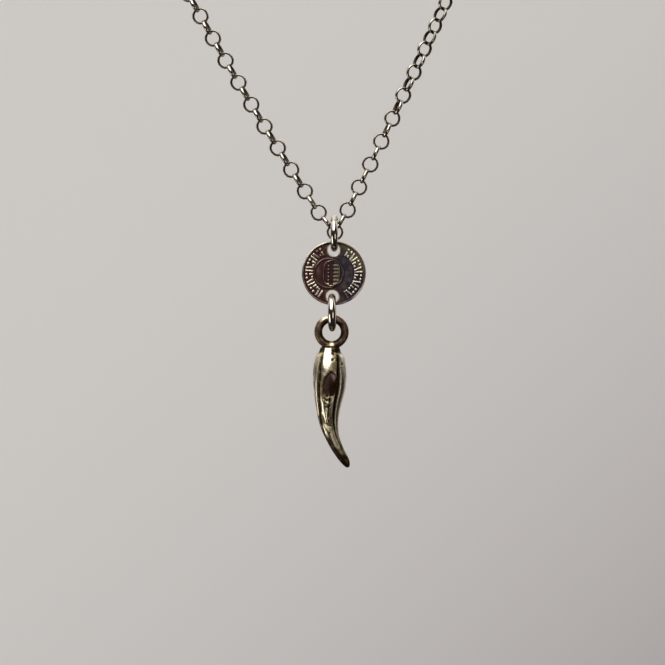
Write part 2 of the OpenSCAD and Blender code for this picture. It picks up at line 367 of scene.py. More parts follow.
def silverFinish(name, look):
    # silver under a thin warm tarnish, and thick oxide where the "tarnishAndShade" attribute is high;
    # besides real oxide and wear, that attribute carries painted shade and painted highlights
    steps = finishSteps
    least, most = steps["noise"]
    material = bpy.data.materials.new(name)
    material.use_nodes = True
    tree = material.node_tree
    shader = tree.nodes["Principled BSDF"]
    shader.inputs["Metallic"].default_value = 1.0
    place = addNode(tree, "ShaderNodeTexCoord").outputs["Object"]
    tarnishAndShade = addNode(tree, "ShaderNodeAttribute", {"attribute_name": "tarnishAndShade"}).outputs["Fac"]
    patina = addNode(tree, "ShaderNodeAttribute", {"attribute_name": "patina"}).outputs["Fac"]

    blotches = addNode(tree, "ShaderNodeTexNoise", None, {
        "Vector": place, "Scale": 1 / (look["blotchSize"] * mm), "Detail": 3, "Roughness": 0.6})
    blotch = addNode(tree, "ShaderNodeMapRange", None, {
        "Value": blotches.outputs["Fac"], "From Min": least, "From Max": most,
        "To Min": look["stain"] - look["blotch"], "To Max": look["stain"] + look["blotch"]})
    stain = addNode(tree, "ShaderNodeMath", {"operation": "MULTIPLY_ADD", "use_clamp": True}, {
        0: tarnishAndShade, 1: look["gather"], 2: blotch.outputs["Result"]}).outputs[0]

    oxides = addNode(tree, "ShaderNodeValToRGB", None, {"Fac": patina})
    oxides.color_ramp.elements.new(0.5)
    for stop, code in zip(oxides.color_ramp.elements, look["oxides"]):
        stop.color = hexToLinear(code)
    thin, thick = [addNode(tree, "ShaderNodeMapRange", {"interpolation_type": "SMOOTHSTEP"}, {
        "Value": stain, "From Min": low, "From Max": high})
        for low, high in (steps["thinTarnish"], steps["thickOxide"])]
    tarnished = addNode(tree, "ShaderNodeMix", {"data_type": "RGBA"}, {
        0: thin.outputs["Result"], 6: hexToLinear(look["silver"]), 7: hexToLinear(look["tint"])})
    colour = addNode(tree, "ShaderNodeMix", {"data_type": "RGBA"}, {
        0: thick.outputs["Result"], 6: tarnished.outputs[2], 7: oxides.outputs["Color"]})
    tree.links.new(colour.outputs[2], shader.inputs["Base Color"])

    rubs = addNode(tree, "ShaderNodeTexNoise", None, {
        "Vector": place, "Scale": 1 / (look["grainSize"] * steps["rubSize"] * mm),
        "Detail": 2, "Roughness": 0.6})
    rub = addNode(tree, "ShaderNodeMapRange", None, {
        "Value": rubs.outputs["Fac"], "From Min": least, "From Max": most,
        "To Min": -steps["rub"], "To Max": steps["rub"]})
    dull = addNode(tree, "ShaderNodeMapRange", None, {
        "Value": stain, "To Min": look["polish"], "To Max": look["dull"]})
    rough = addNode(tree, "ShaderNodeMath", {"operation": "ADD", "use_clamp": True}, {
        0: dull.outputs["Result"], 1: rub.outputs["Result"]})
    tree.links.new(rough.outputs[0], shader.inputs["Roughness"])

    grain = addNode(tree, "ShaderNodeTexNoise", None, {
        "Vector": place, "Scale": 1 / (look["grainSize"] * mm), "Detail": 4, "Roughness": 0.55})
    relief = addNode(tree, "ShaderNodeBump", None, {
        "Strength": look["grain"], "Distance": look["grainSize"] * mm * steps["grainHeight"],
        "Height": grain.outputs["Fac"]})
    tree.links.new(relief.outputs["Normal"], shader.inputs["Normal"])
    return material


# Drawn sterling wire, tumbled bright: small hard highlights, grey brown inside each link and where links
# meet, painted shade with some grime
chainSilver = silverFinish("sterling silver, drawn and tumbled", {
    "silver": "#D2CDC4", "tint": "#B3AC9E", "oxides": ("#483F36", "#483F36", "#483F36"), "stain": 0.15,
    "gather": 1.0, "blotch": 0.14, "blotchSize": 0.9, "polish": 0.18, "dull": 0.45,
    "grainSize": 0.12, "grain": 0.12})
# Polished sterling rings: one long clean highlight, dark reflections below it
ringSilver = silverFinish("sterling silver, polished", {
    "silver": "#DDD8CD", "tint": "#BFB7A2", "oxides": ("#3A3228", "#3A3228", "#3A3228"), "stain": 0.05,
    "gather": 0.7, "blotch": 0.08, "blotchSize": 1.4, "polish": 0.14, "dull": 0.4,
    "grainSize": 0.2, "grain": 0.08})
# Struck and oxidised sterling: red brown to violet ground, raised marks rubbed bright
discSilver = silverFinish("sterling silver, struck and oxidised", {
    "silver": "#E4DFD2", "tint": "#B4A78D", "oxides": ("#4A3032", "#3A3544", "#6A6450"), "stain": 0.85,
    "gather": 0.95, "blotch": 0.14, "blotchSize": 1.1, "polish": 0.34, "dull": 0.5,
    "grainSize": 0.18, "grain": 0.3})
# Cast antique silver: warm rubbed lobes, olive black oxide in the folds, a painted violet sheen in the
# hollow
hornSilver = silverFinish("sterling silver, cast and antiqued", {
    "silver": "#DDD7C8", "tint": "#ACA180", "oxides": ("#281F13", "#4E3632", "#A890AC"), "stain": 0.2,
    "gather": 1.0, "blotch": 0.14, "blotchSize": 0.7, "polish": 0.3, "dull": 0.48,
    "grainSize": 0.22, "grain": 0.35})
print("finishes made")


def startTree(name, labels):
    # an empty tree with one geometry and the named values going in, and one geometry coming out
    tree = bpy.data.node_groups.new(name, "GeometryNodeTree")
    face = tree.interface
    face.new_socket("Start", in_out="INPUT", socket_type="NodeSocketGeometry")
    sizes = {label: face.new_socket(label, in_out="INPUT", socket_type="NodeSocket" + kind).identifier
             for label, kind in labels}
    face.new_socket("Made", in_out="OUTPUT", socket_type="NodeSocketGeometry")
    return tree, sizes, addNode(tree, "NodeGroupInput").outputs


def endTree(tree, geometry, finish):
    # real faces with their finish, since the export drops instances
    solid = addNode(tree, "GeometryNodeRealizeInstances", None, {0: geometry})
    coated = addNode(tree, "GeometryNodeSetMaterial", None, {0: solid.outputs[0], "Material": finish})
    addNode(tree, "NodeGroupOutput", None, {0: coated.outputs[0]})


chainLook = {
    "outerDiameter": 2.6 * mm,  # 0.05 mm past the CAD link all round, where it has air
    "wall": 0.33 * mm,
    "width": 0.58 * mm,
    "facesRound": 14,
    "seamFlat": 20.0,  # half angle that the solder seam flattens
    "seamTurn": 26.0,  # how far a seam may lie from the side of its link
    "seed": 11,
    "sideSeed": 5,  # which side each seam lies on
    "holeShadeAndGrime": 2.4,
    "outerSheenAndGrime": -0.3,
    "paintedToneMask": (0.6, 0.95),  # share of the way towards a neighbour where the painted shade and grime begin to deepen and are full
    "shadeKept": 0.8,  # share of the painted shade and grime that the sides keep
}


def linkPlaces():
    # centre and axis of each link of the CAD chain, from the triangles that touch each other
    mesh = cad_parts["chain"].data
    mesh.calc_loop_triangles()
    co = meshPoints(mesh)
    tris = readRows(mesh.loop_triangles, "vertices", 3, np.int32).ravel()
    keys = np.ascontiguousarray(co).view(np.dtype((np.void, co.dtype.itemsize * 3))).ravel()
    _, same = np.unique(keys, return_inverse=True)
    tris = same.ravel()[tris].reshape(-1, 3)
    group = np.arange(same.max() + 1)
    while True:  # touching triangles end with the same, lowest number
        lowest = group[tris].min(axis=1)
        spread = group.copy()
        for corner in range(3):
            np.minimum.at(spread, tris[:, corner], lowest)
        spread = spread[spread]
        if (spread == group).all():
            break
        group = spread
    owner = group[tris[:, 0]]
    first = np.empty(len(group), np.int64)
    first[same.ravel()] = np.arange(len(co))
    corners = co[first][tris].astype(float)
    area = np.linalg.norm(np.cross(corners[:, 1] - corners[:, 0], corners[:, 2] - corners[:, 0]), axis=1)
    middles = corners.mean(axis=1)
    centres, axes = [], []
    for link in np.unique(owner):
        mine = owner == link
        weight = area[mine, None]
        centre = (middles[mine] * weight).sum(axis=0) / weight.sum()
        off = middles[mine] - centre
        _, vectors = np.linalg.eigh((off * weight).T @ off)
        centres.append(centre)
        axes.append(vectors[:, 0])
    return np.array(centres), np.array(axes)


def chainTree(look):
    tree, sizes, given = startTree("rolo links on points", (
        ("Hole radius", "Float"), ("Wall", "Float"), ("Width", "Float"), ("Faces round", "Int"),
        ("Seam flat", "Float"), ("Seam turn", "Float"), ("Seed", "Int"), ("Finish", "Material")))

    # six sided wire, its flat towards the hole, that smooth shading turns into a bow
    halfWidth = addNode(tree, "ShaderNodeMath", {"operation": "MULTIPLY"}, {0: given["Width"], 1: 0.5})
    rise = addNode(tree, "ShaderNodeMath", {"operation": "MULTIPLY"}, {0: given["Wall"], 1: 3 ** -0.5})
    halfWall = addNode(tree, "ShaderNodeMath", {"operation": "MULTIPLY"}, {0: given["Wall"], 1: 0.5})
    size = addNode(tree, "ShaderNodeCombineXYZ", None, {
        0: halfWidth.outputs[0], 1: rise.outputs[0], 2: 1.0})
    outward = addNode(tree, "ShaderNodeCombineXYZ", None, {0: halfWall.outputs[0]})
    hexagon = addNode(tree, "GeometryNodeCurvePrimitiveCircle", {"mode": "RADIUS"}, {
        "Resolution": 6, "Radius": 1.0})
    section = addNode(tree, "GeometryNodeTransform", None, {
        0: hexagon.outputs[0], "Translation": outward.outputs[0], "Rotation": (0, 0, math.pi / 2),
        "Scale": size.outputs[0]})
    circle = addNode(tree, "GeometryNodeCurvePrimitiveCircle", {"mode": "RADIUS"}, {
        "Resolution": given["Faces round"], "Radius": given["Hole radius"]})
    swept = addNode(tree, "GeometryNodeCurveToMesh", None, {
        "Curve": circle.outputs[0], "Profile Curve": section.outputs[0]})

    # the solder seam leaves one side of each link a little flat
    spot = addNode(tree, "GeometryNodeInputPosition").outputs[0]
    part = addNode(tree, "ShaderNodeSeparateXYZ", None, {0: spot}).outputs
    level = addNode(tree, "ShaderNodeCombineXYZ", None, {0: part[0], 1: part[1]})
    reach = addNode(tree, "ShaderNodeVectorMath", {"operation": "LENGTH"}, {0: level.outputs[0]})
    reach = reach.outputs["Value"]
    cosine = addNode(tree, "ShaderNodeMath", {"operation": "COSINE"}, {0: given["Seam flat"]})
    limit = addNode(tree, "ShaderNodeMath", {"operation": "MULTIPLY"}, {0: reach, 1: cosine.outputs[0]})
    lower = addNode(tree, "ShaderNodeMath", {"operation": "MINIMUM"}, {0: part[1], 1: limit.outputs[0]})
    pressed = addNode(tree, "ShaderNodeCombineXYZ", None, {0: part[0], 1: lower.outputs[0], 2: part[2]})
    link = addNode(tree, "GeometryNodeSetPosition", None, {
        0: swept.outputs[0], "Position": pressed.outputs[0]})

    # painted shade with some grime: darker inside the link, most of all towards its neighbours, and a
    # painted highlight where the outside is cleaner
    deep = addNode(tree, "ShaderNodeMath", {"operation": "SUBTRACT"}, {0: reach, 1: given["Hole radius"]})
    inside = addNode(tree, "ShaderNodeMapRange", None, {
        "Value": deep.outputs[0], "From Min": 0.0, "From Max": given["Wall"],
        "To Min": look["holeShadeAndGrime"], "To Max": look["outerSheenAndGrime"]})
    side = addNode(tree, "ShaderNodeMath", {"operation": "ABSOLUTE"}, {0: part[0]})
    towards = addNode(tree, "ShaderNodeMath", {"operation": "DIVIDE"}, {0: side.outputs[0], 1: reach})
    paintedToneMask = addNode(tree, "ShaderNodeMapRange", None, {
        "Value": towards.outputs[0], "From Min": look["paintedToneMask"][0], "From Max": look["paintedToneMask"][1],
        "To Min": look["shadeKept"], "To Max": 1.0})
    shadeAndGrime = addNode(tree, "ShaderNodeMath", {"operation": "MULTIPLY"}, {
        0: inside.outputs["Result"], 1: paintedToneMask.outputs["Result"]})
    link = addNode(tree, "GeometryNodeStoreNamedAttribute", {"data_type": "FLOAT", "domain": "POINT"}, {
        0: link.outputs[0], "Name": "tarnishAndShade", "Value": shadeAndGrime.outputs[0]})

    # each link stands on its point, square to its axis, with its seam to one side or the other
    axis, way = [addNode(tree, "GeometryNodeInputNamedAttribute", {"data_type": "FLOAT_VECTOR"}, {
        "Name": name}) for name in ("axis", "way")]
    stand = addNode(tree, "FunctionNodeAxesToRotation", {"primary_axis": "Z", "secondary_axis": "X"}, {
        0: axis.outputs[0], 1: way.outputs[0]})
    back = addNode(tree, "ShaderNodeMath", {"operation": "MULTIPLY"}, {0: given["Seam turn"], 1: -1.0})
    turn = addNode(tree, "FunctionNodeRandomValue", {"data_type": "FLOAT"}, {
        2: back.outputs[0], 3: given["Seam turn"], "Seed": given["Seed"]})
    flip = addNode(tree, "FunctionNodeRandomValue", {"data_type": "INT"}, {
        4: 0, 5: 1, "Seed": look["sideSeed"]})
    angle = addNode(tree, "ShaderNodeMath", {"operation": "MULTIPLY_ADD"}, {
        0: flip.outputs[2], 1: math.pi, 2: turn.outputs[1]})
    spin = addNode(tree, "ShaderNodeCombineXYZ", None, {2: angle.outputs[0]})
    placed = addNode(tree, "FunctionNodeRotateRotation", {"rotation_space": "LOCAL"}, {
        0: stand.outputs[0], 1: spin.outputs[0]})
    links = addNode(tree, "GeometryNodeInstanceOnPoints", None, {
        "Points": given["Start"], "Instance": link.outputs[0], "Rotation": placed.outputs[0]})
    endTree(tree, links.outputs[0], given["Finish"])
    return tree, sizes


def makeChain(look):
    centres, axes = linkPlaces()
    apart = np.linalg.norm(centres[:, None] - centres[None], axis=2)
    np.fill_diagonal(apart, 1.0)
    near = np.argsort(apart, axis=1)[:, :2]
    ways = centres[near[:, 0]] - centres[near[:, 1]]
    spots = bpy.data.meshes.new("link places")
    spots.from_pydata([tuple(c) for c in centres], [], [])
    for name, vectors in (("axis", axes), ("way", ways / np.linalg.norm(ways, axis=1, keepdims=True))):
        layer = spots.attributes.new(name, "FLOAT_VECTOR", "POINT")
        layer.data.foreach_set("vector", vectors.astype(np.float32).ravel())
    tree, sizes = chainTree(look)
    values = {"Hole radius": look["outerDiameter"] / 2 - look["wall"], "Wall": look["wall"],
              "Width": look["width"], "Faces round": look["facesRound"],
              "Seam flat": math.radians(look["seamFlat"]), "Seam turn": math.radians(look["seamTurn"]),
              "Seed": look["seed"], "Finish": chainSilver}
    chain = grown("roloChain", spots, tree, sizes, values)
    welded(chain.data, faceOutwards=True)
    print(f"chain: {len(centres)} links")
    finishPiece(chain, "chain", "chain_loop", chainSilver)


makeChain(chainLook)


claspLook = {"voxel": 0.075 * mm, "softening": 4, "cornerRounds": 12, "cornerDepth": 0.03 * mm}


def makeClasp(look):
    # a plain ring with a lug and a lever stub, cast in one
    clasp = remeshed("claspRing", [mergedCopy("clasp")], look["voxel"])
    softened(clasp.data, look["softening"])
    keepValue(clasp.data, "tarnishAndShade", recessOf(clasp.data, look["cornerRounds"], look["cornerDepth"]))
    finishPiece(clasp, "clasp", "chain_loop", chainSilver)


makeClasp(claspLook)


ringLook = {
    "facesRound": 128,
    "facesAcross": 22,
    "seamAngle": 60.0,  # from the ring's bottom by way of its back: where the wire's two ends meet
    "seamDepth": 0.035 * mm,
    "seamWidth": 2.2,  # degrees
    "holeShadeAndGrime": 0.5,
    "rings": [
        # name, CAD node, body, outside diameter, wire, lean and turn in degrees
        ("upperJumpRing", "upper_jump_ring", "upper_ring", 5.7 * mm, 1.1 * mm, 1.5, 0.5),
        ("lowerJumpRing", "lower_jump_ring", "lower_ring", 5.9 * mm, 1.2 * mm, 2.0, 1.0),
    ],
}


def ringTree(look):
    tree, sizes, given = startTree("closed wire ring", (
        ("Bend radius", "Float"), ("Wire radius", "Float"), ("Faces round", "Int"),
        ("Faces across", "Int"), ("Seam angle", "Float"), ("Seam depth", "Float"),
        ("Seam width", "Float"), ("Finish", "Material")))

    circle = addNode(tree, "GeometryNodeCurvePrimitiveCircle", {"mode": "RADIUS"}, {
        "Resolution": given["Faces round"], "Radius": given["Bend radius"]})
    wire = addNode(tree, "GeometryNodeCurvePrimitiveCircle", {"mode": "RADIUS"}, {
        "Resolution": given["Faces across"], "Radius": given["Wire radius"]})
    swept = addNode(tree, "GeometryNodeCurveToMesh", None, {
        "Curve": circle.outputs[0], "Profile Curve": wire.outputs[0]})

    # a butt seam: the wire narrows a little where its ends meet
    spot = addNode(tree, "GeometryNodeInputPosition").outputs[0]
    part = addNode(tree, "ShaderNodeSeparateXYZ", None, {0: spot}).outputs
    bearing = addNode(tree, "ShaderNodeMath", {"operation": "ARCTAN2"}, {0: part[1], 1: part[0]})
    past = addNode(tree, "ShaderNodeMath", {"operation": "SUBTRACT"}, {
        0: bearing.outputs[0], 1: given["Seam angle"]})
    wrapped = addNode(tree, "ShaderNodeMath", {"operation": "WRAP"}, {
        0: past.outputs[0], 1: math.pi, 2: -math.pi})
    off = addNode(tree, "ShaderNodeMath", {"operation": "ABSOLUTE"}, {0: wrapped.outputs[0]})
    seam = addNode(tree, "ShaderNodeMapRange", {"interpolation_type": "SMOOTHSTEP"}, {
        "Value": off.outputs[0], "From Min": 0.0, "From Max": given["Seam width"],
        "To Min": 1.0, "To Max": 0.0})
    depth = addNode(tree, "ShaderNodeMath", {"operation": "MULTIPLY"}, {
        0: seam.outputs["Result"], 1: given["Seam depth"]})
    normal = addNode(tree, "GeometryNodeInputNormal").outputs[0]
    outward = addNode(tree, "ShaderNodeVectorMath", {"operation": "SCALE"}, {
        0: normal, "Scale": depth.outputs[0]})
    inward = addNode(tree, "ShaderNodeVectorMath", {"operation": "SCALE"}, {
        0: outward.outputs[0], "Scale": -1.0})

    # tarnish stays in the seam; the side towards the hole is darker, painted shade with some tarnish
    level = addNode(tree, "ShaderNodeCombineXYZ", None, {0: part[0], 1: part[1]})
    reach = addNode(tree, "ShaderNodeVectorMath", {"operation": "LENGTH"}, {0: level.outputs[0]})
    inner = addNode(tree, "ShaderNodeMath", {"operation": "SUBTRACT"}, {
        0: given["Bend radius"], 1: reach.outputs["Value"]})
    holeShade = addNode(tree, "ShaderNodeMapRange", {"interpolation_type": "SMOOTHSTEP"}, {
        "Value": inner.outputs[0], "From Min": 0.0, "From Max": given["Wire radius"],
        "To Min": 0.0, "To Max": look["holeShadeAndGrime"]})
    seamTarnishAndHoleShade = addNode(tree, "ShaderNodeMath", {"operation": "MAXIMUM"}, {
        0: seam.outputs["Result"], 1: holeShade.outputs["Result"]})
    marked = addNode(tree, "GeometryNodeStoreNamedAttribute", {"data_type": "FLOAT", "domain": "POINT"}, {
        0: swept.outputs[0], "Name": "tarnishAndShade", "Value": seamTarnishAndHoleShade.outputs[0]})
    moved = addNode(tree, "GeometryNodeSetPosition", None, {
        0: marked.outputs[0], "Offset": inward.outputs[0]})
    endTree(tree, moved.outputs[0], given["Finish"])
    return tree, sizes


def makeRings(look):
    tree, sizes = ringTree(look)
    for name, node, body, diameter, wire, leaning, turned in look["rings"]:
        values = {"Bend radius": (diameter - wire) / 2, "Wire radius": wire / 2,
                  "Faces round": look["facesRound"], "Faces across": look["facesAcross"],
                  "Seam angle": math.radians(look["seamAngle"]), "Seam depth": look["seamDepth"],
                  "Seam width": math.radians(look["seamWidth"]), "Finish": ringSilver}
        ring = grown(name, bpy.data.meshes.new(name), tree, sizes, values)
        low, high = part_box(node)
        # the ring was made flat on XY; it hangs edge on, as the CAD ring leans and turns
        ring.data.transform(Matrix.Translation((low + high) / 2)
                            @ Matrix.Rotation(math.radians(-turned), 4, "Z")
                            @ Matrix.Rotation(math.radians(90 - leaning), 4, "Y"))
        welded(ring.data, faceOutwards=True)
        finishPiece(ring, node, body, ringSilver)


makeRings(ringLook)


discLook = {
    "voxel": 0.05 * mm,
    "softening": 3,
    "centreZ": -117.516 * mm,
    "diameter": 9.75,
    "front": -0.4 * mm,  # raised face, from the middle of the thickness
    "relief": 0.12 * mm,
    "rows": 7,
    "columnHeight": 3.3 * mm,
    "pipColumn": -0.72 * mm,
    "pipSize": 0.3 * mm,
    "barColumn": 0.38 * mm,
    "barSize": (0.68 * mm, 0.192 * mm, 0.24 * mm),
    # the ground's tone: shares of x and z in the way it changes, and where that begins and ends
    "redToViolet": (1, 0.25, -0.3, 0.45),
    "violetToOlive": (0.75, 0.65, 0.55, 0.85),
    # as shares of the disc's radius, from the plumb line
    "circle": (-0.144, 0.455),
    "tabletMiddle": -0.05,
    "tabletHalf": 0.26,
    "tabletStraight": 0.15,
    "lineWidth": (0.03, 0.06),  # where a drawn line's grime begins to fade and ends
    "tabletFoot": (-0.36, -0.26),  # the tablet's outline is bright below this
    "tabletOlive": (0.0, 0.03),  # the tablet is olive to the right of this
    "rim": (0.93, 0.97),
    "rimShade": 0.85,
    "border": 0.6,  # the faint marks stand outside this
    "lineGrime": 0.68,
    # bearing and half width in degrees, and how much
    "rimHighlights": [(135, 48, 1.5), (325, 45, 0.5)],
    "faintMarks": [(127, 16, 1.0), (303, 9, 0.8)],
    "cornerRounds": 20,
    "cornerDepth": 0.03 * mm,
}


def barMesh(centre, size):
    work = bmesh.new()
    bmesh.ops.create_cube(work, size=1.0, matrix=Matrix.Translation(centre) @ Matrix.Diagonal((*size, 1)))
    return meshFrom(work, "small bar")


def pipMesh(centre, size):
    work = bmesh.new()
    bmesh.ops.create_icosphere(work, subdivisions=3, radius=size / 2, matrix=Matrix.Translation(centre))
    return meshFrom(work, "small pip")


def makeDisc(look):
    # plain pips and bars fill the tablet, in two columns
    ground = plumbY + look["front"] + look["relief"]
    heights = [look["centreZ"] + look["columnHeight"] * (i / (look["rows"] - 1) - 0.5)
               for i in range(look["rows"])]
    parts = [mergedCopy("disc_tag")]
    parts += [pipMesh((plumbX + look["pipColumn"], ground, z), look["pipSize"]) for z in heights]
    parts += [barMesh((plumbX + look["barColumn"], ground, z), look["barSize"]) for z in heights]
    disc = remeshed("discTag", parts, look["voxel"])
    softened(disc.data, look["softening"])
    points = meshPoints(disc.data).astype(float)
    x = (points[:, 0] - plumbX) / mm / look["diameter"] * 2
    z = (points[:, 2] - look["centreZ"]) / mm / look["diameter"] * 2
    # red brown on the left and below, violet on the right, olive at the upper right edge
    patina = sum(0.5 * ease(side * x + rise * z, begin, end)
                 for side, rise, begin, end in (look["redToViolet"], look["violetToOlive"]))
    tarnishAndShade = recessOf(disc.data, look["cornerRounds"], look["cornerDepth"])
    # painted highlights on the rim at its upper left and lower right and painted shade on the rest of it;
    # the drawn lines are rubbed hardly at all
    bearing = np.degrees(np.arctan2(z, x)) % 360
    shadeKept = 1
    for middle, half, share in look["rimHighlights"]:
        shadeKept = shadeKept - share * bump(bearing, middle, half)
    tarnishAndShade += look["rimShade"] * ease(np.hypot(x, z), *look["rim"]) * shadeKept
    near, far = look["lineWidth"]
    half = look["tabletHalf"]
    circle = np.abs(np.hypot(x - look["circle"][0], z) - look["circle"][1])
    fromTablet = np.hypot(x - look["tabletMiddle"], np.maximum(np.abs(z) - look["tabletStraight"], 0))
    inTablet = 1 - ease(fromTablet, half - near, half)
    outline = 1 - ease(fromTablet, half + near, half + far)
    lines = np.maximum(1 - ease(circle, near, far), outline * ease(z, *look["tabletFoot"]))
    faint = sum(share * bump(bearing, middle, half) for middle, half, share in look["faintMarks"])
    tarnishAndShade += look["lineGrime"] * np.maximum(lines, faint * (np.hypot(x, z) > look["border"]))
    patina = np.maximum(patina, inTablet * ease(x, *look["tabletOlive"]))
    keepValue(disc.data, "patina", patina)
    keepValue(disc.data, "tarnishAndShade", np.clip(tarnishAndShade, -1, 1))
    finishPiece(disc, "disc_tag", "disc", discSilver)


makeDisc(discLook)


